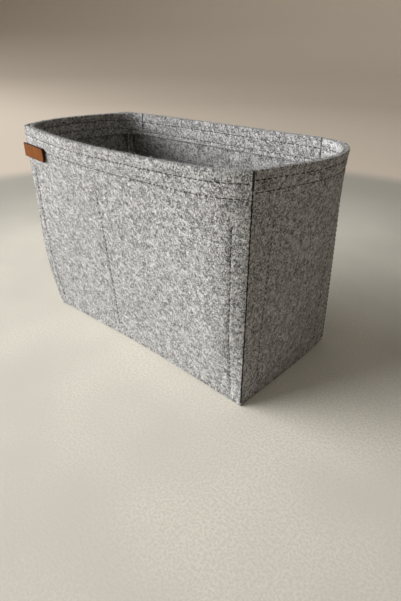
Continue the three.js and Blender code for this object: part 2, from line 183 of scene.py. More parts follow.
class Wall:
    """One wall in its own frame: x along it, -y outward, its untouched corners at y = 0.

    bow: at the rim, at the foot, its lean to one end, and the rim's sag.
    ends: how far each end draws in along the wall, then across it, by height.
    rolls: the share of the corner roll at each end.
    """

    def __init__(self, key, half, turn, place, bow, ends, rolls, rim_rows, pocket_side, dividers=()):
        self.key = key
        self.half = half
        self.turn = turn
        self.place = place
        self.rim_bow, self.foot_bow, self.lean, self.sag = bow
        self.start_tuck, self.end_tuck, self.start_depth, self.end_depth = ends
        self.start_roll, self.end_roll = rolls
        self.rim_rows = rim_rows
        self.pocket_side = pocket_side
        self.dividers = list(dividers)
        self.phase = 0.0
        self.before = None
        self.after = None

    def line(self, z):
        """The wall's line in plan at a height: its ends, their depths, its tilt and its bow."""
        climb = climb_at(z)
        start = -self.half + self.start_tuck(z)
        end = self.half - self.end_tuck(z)
        start_depth = self.start_depth(z)
        end_depth = self.end_depth(z)
        return SimpleNamespace(
            start=start,
            end=end,
            span=end - start,
            start_depth=start_depth,
            end_depth=end_depth,
            tilt=(end_depth - start_depth) / (end - start),
            bow=self.foot_bow * (1 - climb) ** 2 + self.rim_bow * climb**BOW_GROWTH,
        )

    def plan(self, line, x, z):
        """The outer face in plan at places along the wall: its depth and its slope."""
        s = (2 * x - line.start - line.end) / line.span
        chord = line.start_depth + line.tilt * (x - line.start)
        depth = chord - line.bow * (1 - s**2) * (1 + self.lean * s)
        slope = line.tilt + 2 * line.bow / line.span * (2 * s - self.lean * (1 - 3 * s**2))
        start_swell, start_slope = roll_out(x - line.start)
        end_swell, end_slope = roll_out(line.end - x)
        strength = roll_strength(z)
        depth = depth - strength * (self.start_roll * start_swell + self.end_roll * end_swell)
        slope = slope - strength * (self.start_roll * start_slope - self.end_roll * end_slope)
        return depth, slope

    def at(self, x, z, inset):
        """Points of the outer face at places along the wall and heights, moved inward by an inset."""
        line = self.line(z)
        depth, slope = self.plan(line, x, z)
        size = np.hypot(slope, 1)
        px = x - inset * slope / size
        py = depth + inset / size
        sag = self.sag * np.clip(1 - (px / self.half) ** 2, 0, None) * climb_at(z)
        return np.stack(np.broadcast_arrays(px, py, z - sag), -1)

    def seams(self):
        """Places along the flat wall where pocket sides and dividers are sewn through it."""
        side = self.half - self.pocket_side - POCKET_SEAM
        return [-side, *self.dividers, side]

    def standing(self, x, z):
        """Places along the flat wall, moved as the standing wall's ends draw in at a height."""
        line = self.line(z)
        side = self.pocket_side + POCKET_SEAM
        flat = [-self.half, *self.seams(), self.half]
        drawn = [line.start, line.start + side, *self.dividers, line.end - side, line.end]
        return np.interp(x, flat, drawn)

    def world(self, points):
        c, s = math.cos(self.turn), math.sin(self.turn)
        out = np.array(points, float)
        x = out[..., 0].copy()
        y = out[..., 1].copy()
        out[..., 0] = c * x - s * y + self.place[0]
        out[..., 1] = s * x + c * y + self.place[1]
        return out


def long_wall(key, turn, place, bow, ends, rolls, dividers=()):
    return Wall(key, HALF_LENGTH, turn, place, bow, ends, rolls, LONG_RIM_ROWS, LONG_POCKET_SIDE, dividers)


def end_wall(key, turn, place, bow, ends):
    return Wall(key, HALF_WIDTH, turn, place, bow, ends, (0, 0), END_RIM_ROWS, END_POCKET_SIDE)


front = long_wall(
    "front",
    turn=0.0,
    place=(0, -HALF_WIDTH),
    bow=(FRONT_RIM_BOW, LONG_FOOT_BOW, 0.0, FRONT_RIM_SAG),
    ends=(left_tuck, right_draw, no_tuck, right_squeeze),
    rolls=(0, 1),
    dividers=[FRONT_DIVIDER_X],
)
right = end_wall(
    "right_end",
    turn=math.pi / 2,
    place=(HALF_LENGTH, 0),
    bow=(RIGHT_RIM_BOW, END_FOOT_BOW, RIGHT_BOW_LEAN, 0.0),
    ends=(right_squeeze, right_squeeze, right_draw, right_draw),
)
back = long_wall(
    "back",
    turn=math.pi,
    place=(0, HALF_WIDTH),
    bow=(BACK_RIM_BOW, LONG_FOOT_BOW, 0.0, BACK_RIM_SAG),
    ends=(right_draw, left_tuck, right_squeeze, no_tuck),
    rolls=(1, 0),
)
left = end_wall(
    "left_end",
    turn=-math.pi / 2,
    place=(-HALF_LENGTH, 0),
    bow=(LEFT_RIM_BOW, END_FOOT_BOW, LEFT_BOW_LEAN, 0.0),
    ends=(no_tuck, no_tuck, left_tuck, left_tuck),
)
walls = [front, right, back, left]
for number, wall in enumerate(walls):
    wall.phase = FIRST_PHASE + number
    wall.before = walls[number - 1]
    wall.after = walls[(number + 1) % len(walls)]


# Meshes


def new_object(name, vertices, faces, material):
    mesh = bpy.data.meshes.new(name)
    mesh.from_pydata([tuple(v) for v in vertices], [], faces)
    mesh.materials.append(material)
    mesh.update()
    piece = bpy.data.objects.new(name, mesh)
    bpy.context.scene.collection.objects.link(piece)
    return piece


def sheet_faces(rows, columns):
    """Faces of a closed sheet whose two faces are grids of points, the outer grid first."""
    outer, inner = np.arange(2 * rows * columns).reshape(2, rows, columns)
    faces = []
    for grid, flip in ((outer, False), (inner, True)):
        quads = np.stack([grid[:-1, :-1], grid[:-1, 1:], grid[1:, 1:], grid[1:, :-1]], -1).reshape(-1, 4)
        faces += (quads[:, ::-1] if flip else quads).tolist()
    for j, flip in ((0, False), (-1, True)):
        quads = np.stack([outer[j, :-1], inner[j, :-1], inner[j, 1:], outer[j, 1:]], -1)
        faces += (quads[:, ::-1] if flip else quads).tolist()
    for i, flip in ((0, False), (-1, True)):
        quads = np.stack([outer[:-1, i], outer[1:, i], inner[1:, i], inner[:-1, i]], -1)
        faces += (quads[:, ::-1] if flip else quads).tolist()
    return faces


SHARP_ANGLE = math.radians(50)
# Rounding of a sheet's cut edges, on its outer face and on its inner face
PANEL_EDGES, FACING_EDGES, POCKET_EDGES, STRIP_EDGES = (0.7, 0.2), (0.2, 0.7), (0.5, 0.5), (0.6, 0.6)


def cut_edges(bm, outer_count, outer):
    """The sharp edges of a sheet on its outer face, or else on its inner face."""
    chosen = []
    for edge in bm.edges:
        on_side = all((v.index < outer_count) == outer for v in edge.verts)
        if on_side and edge.is_manifold and edge.calc_face_angle() > SHARP_ANGLE:
            chosen.append(edge)
    return chosen


def round_edges(piece, outer_count, outer_width, inner_width):
    """Round a sheet's cut edges, by one width on its outer face and another on its inner face."""
    bm = bmesh.new()
    bm.from_mesh(piece.data)
    outer_edges = cut_edges(bm, outer_count, True)
    inner_edges = cut_edges(bm, outer_count, False)
    for edges, width in ((outer_edges, outer_width), (inner_edges, inner_width)):
        bmesh.ops.bevel(
            bm, geom=edges, offset=width * MM, segments=2, profile=0.5, affect="EDGES", clamp_overlap=True,
        )
    for face in bm.faces:
        face.smooth = True
    bm.to_mesh(piece.data)
    bm.free()


def felt_sheet(name, outer, inner, material, edges):
    rows, columns = outer.shape[:2]
    points = np.concatenate([outer.reshape(-1, 3), inner.reshape(-1, 3)]) * MM
    piece = new_object(name, points, sheet_faces(rows, columns), material)
    round_edges(piece, rows * columns, *edges)
    return piece


def cut_size(grid):
    """The flat size of a sheet in metres: its longest row and its longest column."""
    along = np.linalg.norm(np.diff(grid, axis=1), axis=2).sum(axis=1).max()
    up = np.linalg.norm(np.diff(grid, axis=0), axis=2).sum(axis=0).max()
    return float(along) * MM, float(up) * MM


# Wall panels

PANEL_STEP_ALONG, PANEL_STEP_UP = 3.2, 3.4
PANEL_SIDE_MARGIN, TRIM_CLEARANCE = 0.3, 0.5


def with_dense(low, high, step, places, reach=2.6, fine=0.65, gap=0.3, margin=1.6):
    """Values from low to high at a coarse step, set close together around the given places."""
    values = set(np.round(np.linspace(low, high, max(2, int((high - low) / step)) + 1), 4))
    for p in places:
        near = np.arange(p - reach, p + reach + 1e-6, fine)
        values = {v for v in values if abs(v - p) > reach + gap or v in (low, high)}
        values |= set(np.round(near, 4))
    values = sorted(v for v in values if low + margin < v < high - margin)
    return np.array([low, *values, high])


def ripple(x, z, phase):
    """The slight unevenness of a felt sheet, in millimetres."""
    long_wave = np.sin(x / LONG_WAVE_ALONG + phase) * np.sin(z / LONG_WAVE_UP + LONG_WAVE_SHIFT * phase)
    short_wave = np.sin(x / SHORT_WAVE_ALONG + SHORT_WAVE_SHIFT * phase) * np.cos(z / SHORT_WAVE_UP - phase)
    fine_wave = np.sin((x + z) / FINE_WAVE_LENGTH + FINE_WAVE_SHIFT * phase)
    return LONG_WAVE * long_wave + SHORT_WAVE * short_wave + FINE_WAVE * fine_wave


def unevenness(wall, x, z):
    """How far a wall's face waves in at a place along the flat wall and a height, none at its corners."""
    fade = np.clip((wall.half - FACE_LEAD - np.abs(x)) / WAVE_FADE, 0, 1)
    return ripple(x, z, wall.phase) * fade


def groove(wall, x, z):
    """How far the thread pulls the wall's face in at a place along the flat wall and a height."""
    drop = HEIGHT - z
    depth = np.zeros(np.broadcast(x, z).shape)
    for row in wall.rim_rows:
        depth += GROOVE_DEPTH * np.exp(-(((drop - row) / GROOVE_WIDTH) ** 2))
    sewn = 1 / (1 + np.exp((z - POCKET_TOP - POCKET_GROOVE_RISE) / POCKET_GROOVE_FADE))
    for place in wall.seams():
        depth += GROOVE_DEPTH * sewn * np.exp(-(((x - place) / GROOVE_WIDTH) ** 2))
    return depth


def rounded_corner(corner, first_way, last_way, radius):
    """Points of an arc that rounds a corner between two unit directions that leave it."""
    half_angle = math.acos(float(first_way @ last_way)) / 2
    middle = (first_way + last_way) / np.linalg.norm(first_way + last_way)
    centre = corner + middle * radius / math.sin(half_angle)
    first = corner + first_way * radius / math.tan(half_angle) - centre
    last = corner + last_way * radius / math.tan(half_angle) - centre
    points = []
    for t in np.linspace(0, 1, FOLD_POINTS):
        bulge = -middle * radius * math.sin(math.pi * t) * (1 - math.sin(half_angle))
        ray = (1 - t) * first + t * last + bulge
        points.append(centre + ray * radius / np.linalg.norm(ray))
    return points


def corner_fold(slope, allowance):
    """The folded edge at a corner, outer and inner face: distance along the wall, depth inward."""
    size = math.hypot(slope, 1)
    along = np.array([1, -slope]) / size
    inward = np.array([slope, 1]) / size
    diagonal = np.array([1, 1]) / math.sqrt(2)
    aside = np.array([1, -1]) / math.sqrt(2)
    lines = np.array([inward, aside])
    outer_corner = np.linalg.solve(lines, [0, SEAM_HALF_GAP])
    inner_corner = np.linalg.solve(lines, [WALL_FELT, SEAM_HALF_GAP + WALL_FELT])
    tip = outer_corner + allowance * diagonal
    outer = [tip, *rounded_corner(outer_corner, diagonal, along, FOLD_RADIUS)]
    inner = [tip + WALL_FELT * aside, *rounded_corner(inner_corner, diagonal, along, INNER_FOLD_RADIUS)]
    return np.array(outer), np.array(inner)


def panel_heights(wall):
    """Row heights of a panel, with one step where its seam allowances are trimmed behind the facing."""
    heights = with_dense(FOOT, HEIGHT, PANEL_STEP_UP, [HEIGHT - r for r in wall.rim_rows])
    low, high = TRIM_HEIGHT - TRIM_STEP, TRIM_HEIGHT
    kept = [z for z in heights if not low - TRIM_CLEARANCE < z < high + TRIM_CLEARANCE]
    return np.array(sorted([*kept, low, high]))


def wall_panel(wall, material):
    """A felt wall with its seam allowances turned inside at both corners."""
    side = wall.half - FACE_LEAD
    xs = with_dense(-side, side, PANEL_STEP_ALONG, wall.seams(), margin=PANEL_SIDE_MARGIN)
    lining_xs = np.interp(
        xs,
        [-side, SEAM_REACH - wall.half, wall.half - SEAM_REACH, side],
        [LINING_LEAD - wall.half, SEAM_REACH - wall.half, wall.half - SEAM_REACH, wall.half - LINING_LEAD],
    )
    outer_rows, inner_rows = [], []
    for z in panel_heights(wall):
        line = wall.line(z)
        allowance = SEAM_ALLOWANCE if z < TRIM_HEIGHT else RIM_SEAM_ALLOWANCE
        wave = unevenness(wall, xs, z)
        face = wall.at(wall.standing(xs, z), z, groove(wall, xs, z) + wave)
        lining = wall.at(wall.standing(lining_xs, z), z, WALL_FELT + wave)
        first = corner_fold(-wall.plan(line, line.start, z)[1], allowance)
        last = corner_fold(wall.plan(line, line.end, z)[1], allowance)
        for rows, middle, k in ((outer_rows, face, 0), (inner_rows, lining, 1)):
            height = np.full(len(first[k]), z)
            start = np.stack([line.start + first[k][:, 0], line.start_depth + first[k][:, 1], height], -1)
            end = np.stack([line.end - last[k][:, 0], line.end_depth + last[k][:, 1], height], -1)
            rows.append(np.concatenate([start, middle, end[::-1]]))
    outer = wall.world(np.array(outer_rows))
    inner = wall.world(np.array(inner_rows))
    return felt_sheet(f"{wall.key}_felt", outer, inner, material, PANEL_EDGES), cut_size(outer)


# Facings and pockets

TURN_POINTS, LAP_POINTS = 13, 3
TURN_PROBE = 0.1
FACING_STEP, FACING_ROWS = 3.0, 25


def cross(a, b):
    return a[0] * b[1] - a[1] * b[0]


def corner_turn(on_long, on_end, turn):
    """An end facing at one corner, from its lap on the long wall round the seam onto the end wall.

    on_long and on_end give points by their distance from the corner; the turn is where the bend starts.
    """
    first = on_long(turn)
    last = on_end(turn)
    run_in = first - on_long(turn + TURN_PROBE)
    run_out = last - on_end(turn + TURN_PROBE)
    share = cross(last - first, run_out) / cross(run_in, run_out)
    bend = first + run_in * share + np.array([FACING_CLEARANCE, FACING_CLEARANCE, 0])
    t = np.linspace(0, 1, TURN_POINTS)[:, None]
    curve = (1 - t) ** 2 * first + 2 * t * (1 - t) * bend + t**2 * last
    lap = [on_long(u) for u in np.linspace(FACING_LAP, turn, LAP_POINTS)[:-1]]
    return np.concatenate([lap, curve])


def end_facing_path(wall, z, inset, turn):
    """An end wall's facing along its run: from one lap round its corner, along the wall, to the other lap."""
    line, past, next_line = wall.line(z), wall.before.line(z), wall.after.line(z)

    def on_before(u):
        x, y, h = wall.before.at(past.end - u, z, inset)
        return np.array([y - past.end_depth, past.end - x, h])

    def on_start(u):
        x, y, h = wall.at(line.start + u, z, inset)
        return np.array([x - line.start, y - line.start_depth, h])

    def on_after(u):
        x, y, h = wall.after.at(next_line.start + u, z, inset)
        return np.array([y - next_line.start_depth, x - next_line.start, h])

    def on_end(u):
        x, y, h = wall.at(line.end - u, z, inset)
        return np.array([line.end - x, y - line.end_depth, h])

    first = corner_turn(on_before, on_start, turn) + np.array([line.start, line.start_depth, 0])
    last = corner_turn(on_after, on_end, turn) * np.array([-1, 1, 1])
    last += np.array([line.end, line.end_depth, 0])
    count = int((2 * wall.half - 2 * FACING_TURN) / FACING_STEP)
    xs = np.linspace(line.start + turn, line.end - turn, count + 1)[1:-1]
    return np.concatenate([first, wall.at(xs, z, inset), last[::-1]])


def long_facing_path(wall, z, inset, turn):
    """A long wall's facing lies between the laps, so it has no turn."""
    line = wall.line(z)
    reach = FACING_LAP + 2 * LAY_GAP
    count = int((2 * wall.half - 2 * reach) / FACING_STEP)
    return wall.at(np.linspace(line.start + reach, line.end - reach, count + 1), z, inset)


def facing_faces(wall, z):
    """The facing's two faces along its run at a height, and the unit way through it from face to face."""
    path = end_facing_path if wall.half == HALF_WIDTH else long_facing_path
    near = path(wall, z, FACING_NEAR, FACING_CORNER_TURN)
    far = path(wall, z, FACING_NEAR + FACING_FELT, FACING_TURN)
    through = far - path(wall, z, FACING_NEAR, FACING_TURN)
    through /= np.linalg.norm(through, axis=1)[:, None]
    return near, far, through


def distances(points):
    """Distance along a run of points, from 0 at its first."""
    return np.concatenate([[0.0], np.cumsum(np.linalg.norm(np.diff(points, axis=0), axis=1))])


def facing_rows(wall):
    """Drops of the stitch rows below the rim along a facing's run, which change level round the corners."""
    along = distances(facing_faces(wall, HEIGHT)[0])
    if wall.half == HALF_LENGTH:
        return [np.full(len(along), row) for row in wall.rim_rows]
    ease = smooth((np.minimum(along, along[-1] - along) - ROW_SHIFT_START) / ROW_SHIFT_RUN)
    return [long + (own - long) * ease for long, own in zip(LONG_RIM_ROWS, wall.rim_rows)]


def rim_facing(wall, material):
    """The felt strip inside a wall's rim, drawn in along its stitch rows."""
    rows = facing_rows(wall)
    outer_rows, inner_rows = [], []
    for z in np.linspace(HEIGHT - FACING_WIDTH, HEIGHT, FACING_ROWS):
        near, far, through = facing_faces(wall, z)
        along = distances(near)
        fade = np.clip(np.minimum(along, along[-1] - along) / WAVE_FADE, 0, 1)
        wave = ripple(along, z, wall.phase) * fade * FACING_WAVE
        sink = sum(FACING_GROOVE_DEPTH * np.exp(-(((HEIGHT - z - row) / GROOVE_WIDTH) ** 2)) for row in rows)
        outer_rows.append(near)
        inner_rows.append(far + through * (wave - sink)[:, None])
    outer = wall.world(np.array(outer_rows))
    inner = wall.world(np.array(inner_rows))
    return felt_sheet(f"{wall.key}_facing", outer, inner, material, FACING_EDGES), cut_size(outer)


POCKET_ROWS, POCKET_COLUMNS = 34, 40


def pocket_sheet(wall, material):
    """A pocket sewn down at its sides, foot and dividers, standing off the wall between them."""
    outer_rows, inner_rows = [], []
    for z in np.linspace(POCKET_FOOT, POCKET_TOP, POCKET_ROWS):
        line = wall.line(z)
        seams = [line.start + wall.pocket_side, *wall.dividers, line.end - wall.pocket_side]
        opening = POCKET_SWELL * ((z - POCKET_FOOT) / (POCKET_TOP - POCKET_FOOT)) ** SWELL_GROWTH
        places, stands = [], []
        for k in range(len(seams) - 1):
            # A divider's column is made once, with the pocket before it
            s = np.linspace(-1, 1, POCKET_COLUMNS)[min(k, 1):]
            places.append(seams[k] + (s + 1) / 2 * (seams[k + 1] - seams[k]))
            stands.append(opening * (1 - s**2))
        x = np.concatenate(places)
        stand = np.concatenate(stands)
        wave = ripple(x, z, wall.phase + POCKET_PHASE) * stand / POCKET_SWELL
        near = WALL_FELT + LAY_GAP + stand + wave
        outer_rows.append(wall.at(x, z, near))
        inner_rows.append(wall.at(x, z, near + POCKET_FELT))
    outer = wall.world(np.array(outer_rows))
    inner = wall.world(np.array(inner_rows))
    return felt_sheet(f"{wall.key}_pocket_felt", outer, inner, material, POCKET_EDGES), cut_size(outer)


# Thread

THREAD_SIDES, FIBRE_SIDES = 6, 4
# A slanted direction, off all the axes, that the tubes' rings are set out from
TUBE_GUIDE = np.array([0.31, 0.47, 0.83])


def tube(points, radius, sides):
    """Rings of points round a short path, with closed ends."""
    points = np.asarray(points, float)
    radius = np.broadcast_to(radius, len(points))
    run = np.gradient(points, axis=0)
    run /= np.linalg.norm(run, axis=1)[:, None]
    side = np.cross(run, TUBE_GUIDE)
    side /= np.linalg.norm(side, axis=1)[:, None]
    up = np.cross(side, run)
    angles = np.arange(sides) / sides * 2 * math.pi
    ring = side[:, None] * np.cos(angles)[None, :, None] + up[:, None] * np.sin(angles)[None, :, None]
    vertices = (points[:, None] + ring * radius[:, None, None]).reshape(-1, 3)
    faces = []
    for j in range(len(points) - 1):
        for i in range(sides):
            k = (i + 1) % sides
            faces.append([j * sides + i, j * sides + k, (j + 1) * sides + k, (j + 1) * sides + i])
    last = (len(points) - 1) * sides
    faces.append(list(range(sides))[::-1])
    faces.append([last + i for i in range(sides)])
    return vertices, faces


def tubes_object(name, paths, material, sides):
    """One mesh of many short tubes, each a path and its radius."""
    vertices, faces = [], []
    count = 0
    for points, radius in paths:
        v, f = tube(points, radius, sides)
        vertices.append(v)
        faces += [[i + count for i in face] for face in f]
        count += len(v)
    piece = new_object(name, np.concatenate(vertices) * MM, faces, material)
    piece.data.shade_smooth()
    return piece


# A stitch's points along its length and above the felt, and a tack's points above the felt
STITCH_SHAPE = np.array([0.0, 0.1, 0.3, 0.5, 0.7, 0.9, 1.0])
STITCH_LIFT = np.array([-0.75, -0.2, 0.1, 0.16, 0.1, -0.2, -0.75])
TACK_LIFT = np.array([-0.6, 0.3, 0.55, 0.6, 0.6, 0.55, 0.3, -0.3])


def stitches_along(length, at, radius=THREAD_RADIUS):
    """Stitch paths over a run; at(distance, lift) gives points a little above the felt's face."""
    paths = []
    count = max(1, int(round(length / STITCH_PITCH)))
    pitch = length / count
    for i in range(count):
        drift = rng.uniform(-STITCH_DRIFT, STITCH_DRIFT)
        first = i * pitch + STITCH_GAP / 2 + drift
        last = (i + 1) * pitch - STITCH_GAP / 2 + drift
        along = first + (last - first) * STITCH_SHAPE
        paths.append((at(along, STITCH_LIFT), radius * rng.uniform(THREAD_THINNEST, THREAD_THICKEST)))
    return paths


def rim_stitches(wall):
    """The two rows of each rim, outside on the wall and inside on the facing."""
    paths = []
    for row in wall.rim_rows:
        z = HEIGHT - row
        line = wall.line(z)
        first = line.start + FACE_LEAD / 2

        def on_face(d, lift):
            x = first + d
            sunk = GROOVE_DEPTH + unevenness(wall, x, z)
            return wall.world(wall.at(x, np.full(len(d), z), sunk - lift))

        paths += stitches_along(line.span - FACE_LEAD, on_face)
    for row in facing_rows(wall):
        run = [facing_faces(wall, HEIGHT - drop) for drop in row]
        face = np.array([far[i] for i, (_, far, _) in enumerate(run)])
        through = np.array([way[i] for i, (_, _, way) in enumerate(run)])
        along = distances(face)

        def on_facing(d, lift):
            base = np.stack([np.interp(d, along, face[:, k]) for k in range(3)], -1)
            way = np.stack([np.interp(d, along, through[:, k]) for k in range(3)], -1)
            return wall.world(base + way * (lift - FACING_GROOVE_DEPTH)[:, None])

        paths += stitches_along(along[-1], on_facing)
    return paths


def pocket_stitches(wall):
    """The rows that show outside where pocket sides and dividers are sewn through the wall."""
    low = FOOT + POCKET_ROW_RISE
    paths = []
    for place in wall.seams():

        def on_face(d, lift):
            z = low + d
            x = np.array([float(wall.standing(place, h)) for h in z])
            sunk = GROOVE_DEPTH + unevenness(wall, place, z)
            return wall.world(wall.at(x, z, sunk - lift))

        paths += stitches_along(POCKET_TOP + POCKET_ROW_OVERRUN - low, on_face)
    return paths


def corner_stitches(wall):
    """The seam thread in the fold where a wall meets the next one, and a tack at the rim of some corners."""
    tacked = wall.key in TACKED
    depth = HEAVY_THREAD_DEPTH if tacked else CORNER_THREAD_DEPTH
    radius = HEAVY_THREAD_RADIUS if tacked else CORNER_THREAD_RADIUS

    def in_fold(d, lift):
        z = FOOT + d
        line = wall.line(z)
        inward = (depth - lift) / math.sqrt(2)
        return wall.world(np.stack([line.end - inward, line.end_depth + inward, z], -1))

    length = HEIGHT - FOOT - CORNER_ROW_DROP
    paths = stitches_along(length, in_fold, radius)
    if tacked:
        run = np.linspace(length - TACK_LENGTH, length + TACK_OVERRUN, len(TACK_LIFT))
        paths.append((in_fold(run, TACK_LIFT), TACK_RADIUS))
    return paths


def rim_fibres(wall):
    """Short loose fibres that stand off the top of a wall's rim."""
    line = wall.line(np.array(HEIGHT))
    paths = []
    for _ in range(int(line.span * FIBRES_PER_MM)):
        x = rng.uniform(line.start + FACE_LEAD, line.end - FACE_LEAD)
        root = wall.at(np.array(x), np.array(HEIGHT), rng.uniform(0, WALL_FELT + FACING_FELT))
        lean = [rng.normal(0, FIBRE_LEAN), rng.normal(0, FIBRE_LEAN)]
        way = np.array([*lean, rng.uniform(FIBRE_LOW_RISE, FIBRE_HIGH_RISE)])
        way /= np.linalg.norm(way)
        curl = rng.normal(0, FIBRE_CURL, 3)
        run = FIBRE_RUN[:, None]
        points = root + rng.uniform(FIBRE_SHORT, FIBRE_LONG) * (way * run + curl * run**2)
        paths.append((wall.world(points), FIBRE_RADIUS * FIBRE_TAPER))
    return paths


# Materials

# Wisps: the full share of a line's width, and the larger texture that leaves them standing in patches
WISP_CORE = 0.35
PATCH_SCALE, PATCH_SHIFT = 0.6, 3.1
PATCH_LOW, PATCH_HIGH, PATCH_COVER = 0.62, 0.7, 0.3


def socket(node, name, value):
    node.inputs[name].default_value = value


class Nodes:
    """A short way to write a material's node tree."""

    def __init__(self, name):
        self.material = bpy.data.materials.new(name)
        self.material.use_nodes = True
        self.tree = self.material.node_tree
        self.shader = self.tree.nodes["Principled BSDF"]
        coordinates = self.tree.nodes.new("ShaderNodeTexCoord")
        self.place = coordinates.outputs["Object"]

    def link(self, a, b):
        self.tree.links.new(a, b)

    def vector(self, operation, a, b):
        node = self.tree.nodes.new("ShaderNodeVectorMath")
        node.operation = operation
        self.link(a, node.inputs[0])
        if isinstance(b, tuple):
            node.inputs[1].default_value = b
        elif b is not None:
            self.link(b, node.inputs[1])
        return node.outputs

    def comb(self, way, keep):
        """Draw the textures that follow out along one direction, to 1 / keep of their length."""
        along = self.vector("DOT_PRODUCT", self.place, way)["Value"]
        part = self.tree.nodes.new("ShaderNodeVectorMath")
        part.operation = "SCALE"
        part.inputs[0].default_value = way
        self.link(self.math("MULTIPLY", along, 1 - keep), part.inputs["Scale"])
        self.place = self.vector("SUBTRACT", self.place, part.outputs["Vector"])["Vector"]

    def moved(self, offset):
        node = self.tree.nodes.new("ShaderNodeMapping")
        socket(node, "Location", offset)
        self.link(self.place, node.inputs["Vector"])
        return node.outputs["Vector"]

    def noise(self, scale, detail=2.0, rough=0.5, distortion=0.0, offset=(0, 0, 0)):
        node = self.tree.nodes.new("ShaderNodeTexNoise")
        socket(node, "Scale", scale)
        socket(node, "Detail", detail)
        socket(node, "Roughness", rough)
        socket(node, "Distortion", distortion)
        self.link(self.moved(offset), node.inputs["Vector"])
        return node.outputs["Fac"]

    def math(self, operation, a, b=None):
        node = self.tree.nodes.new("ShaderNodeMath")
        node.operation = operation
        for i, value in enumerate((a, b)):
            if value is None:
                continue
            if isinstance(value, (int, float)):
                node.inputs[i].default_value = value
            else:
                self.link(value, node.inputs[i])
        return node.outputs[0]

    def span(self, value, low, high, to_low=0.0, to_high=1.0):
        node = self.tree.nodes.new("ShaderNodeMapRange")
        node.interpolation_type = "SMOOTHSTEP"
        for name, number in (("From Min", low), ("From Max", high), ("To Min", to_low), ("To Max", to_high)):
            socket(node, name, number)
        self.link(value, node.inputs["Value"])
        return node.outputs["Result"]

    def mix(self, share, a, b):
        node = self.tree.nodes.new("ShaderNodeMix")
        node.data_type = "RGBA"
        # The colour sockets share their names with those of other types, so they are chosen by number
        slots = {"share": node.inputs[0], "a": node.inputs[6], "b": node.inputs[7]}
        for key, value in (("share", share), ("a", a), ("b", b)):
            if isinstance(value, (int, float, tuple)):
                slots[key].default_value = value if isinstance(value, (int, float)) else (*value, 1.0)
            else:
                self.link(value, slots[key])
        return node.outputs[2]

    def wisps(self, scale, width, offset, cover):
        """Thin curled lines, like loose fibres, over a share of the surface."""
        lines = self.noise(scale, detail=1.0, rough=0.5, distortion=1.4, offset=offset)
        near = self.math("ABSOLUTE", self.math("SUBTRACT", lines, 0.5))
        thin = self.span(near, width * WISP_CORE, width, to_low=1.0, to_high=0.0)
        aside = tuple(v + PATCH_SHIFT for v in offset)
        patches = self.noise(scale * PATCH_SCALE, detail=2.0, rough=0.6, distortion=0.4, offset=aside)
        lowered = cover * PATCH_COVER
        return self.math("MULTIPLY", thin, self.span(patches, PATCH_LOW - lowered, PATCH_HIGH - lowered))

    def bump(self, height, strength, distance):
        node = self.tree.nodes.new("ShaderNodeBump")
        socket(node, "Strength", strength)
        socket(node, "Distance", distance)
        self.link(height, node.inputs["Height"])
        self.link(node.outputs["Normal"], self.shader.inputs["Normal"])


# The way the felt's fibres are combed. The wisps are drawn out along it, and the streaks further still
FIBRE_WAY = tuple(v / math.sqrt(3) for v in (1.0, -1.0, -1.0))
WISP_KEEP, STREAK_KEEP = 0.22, 0.65


def felt_material(name, pale, grey, dark, white):
    """Heather felt: matted pale and mid-grey wool with drawn-out dark and white fibres in it."""
    n = Nodes(name)
    cloud = n.noise(45, detail=3, rough=0.55)
    blotch = n.noise(190, detail=3, rough=0.6, distortion=0.6, offset=(0.4, 0.6, 0.1))
    fleck = n.noise(1700, detail=2, rough=0.65, distortion=0.8, offset=(0.7, 0.2, 0.4))
    n.comb(FIBRE_WAY, WISP_KEEP)
    dark_fibre = n.wisps(620, width=0.08, offset=(0.31, 0.12, 0.55), cover=0.75)
    white_fibre = n.wisps(700, width=0.08, offset=(0.11, 0.72, 0.25), cover=0.85)
    n.comb(FIBRE_WAY, STREAK_KEEP)
    streak = n.noise(1600, detail=2, rough=0.6, distortion=0.4, offset=(0.1, 0.9, 0.3))
    body = n.mix(n.span(fleck, 0.42, 0.58), grey, pale)
    body = n.mix(n.span(streak, 0.55, 0.63, to_high=0.8), body, white)
    body = n.mix(n.span(streak, 0.45, 0.36, to_high=0.75), body, dark)
    body = n.mix(n.span(cloud, 0.35, 0.75, to_high=0.18), body, grey)
    body = n.mix(n.span(blotch, 0.45, 0.75, to_high=0.22), body, grey)
    body = n.mix(n.math("MULTIPLY", white_fibre, 0.85), body, white)
    body = n.mix(n.math("MULTIPLY", dark_fibre, 0.9), body, dark)
    n.link(body, n.shader.inputs["Base Color"])
    height = n.math("ADD", fleck, n.math("MULTIPLY", streak, 0.8))
    height = n.math("ADD", height, n.math("MULTIPLY", white_fibre, 0.4))
    n.bump(height, strength=0.7, distance=0.0008)
    socket(n.shader, "Roughness", 0.95)
    socket(n.shader, "Specular IOR Level", 0.1)
    socket(n.shader, "Sheen Weight", 0.15)
    socket(n.shader, "Sheen Roughness", 0.6)
    return n.material


def thread_material(dark, light):
    n = Nodes("charcoal_thread")
    twist = n.noise(2600, detail=2, rough=0.6)
    n.link(n.mix(twist, dark, light), n.shader.inputs["Base Color"])
    n.bump(twist, strength=0.4, distance=0.0002)
    socket(n.shader, "Roughness", 0.85)
    socket(n.shader, "Specular IOR Level", 0.15)
    return n.material


def fibre_material(colour):
    n = Nodes("loose_fibre")
    socket(n.shader, "Base Color", (*colour, 1.0))
    socket(n.shader, "Roughness", 0.95)
    socket(n.shader, "Specular IOR Level", 0.1)
    return n.material


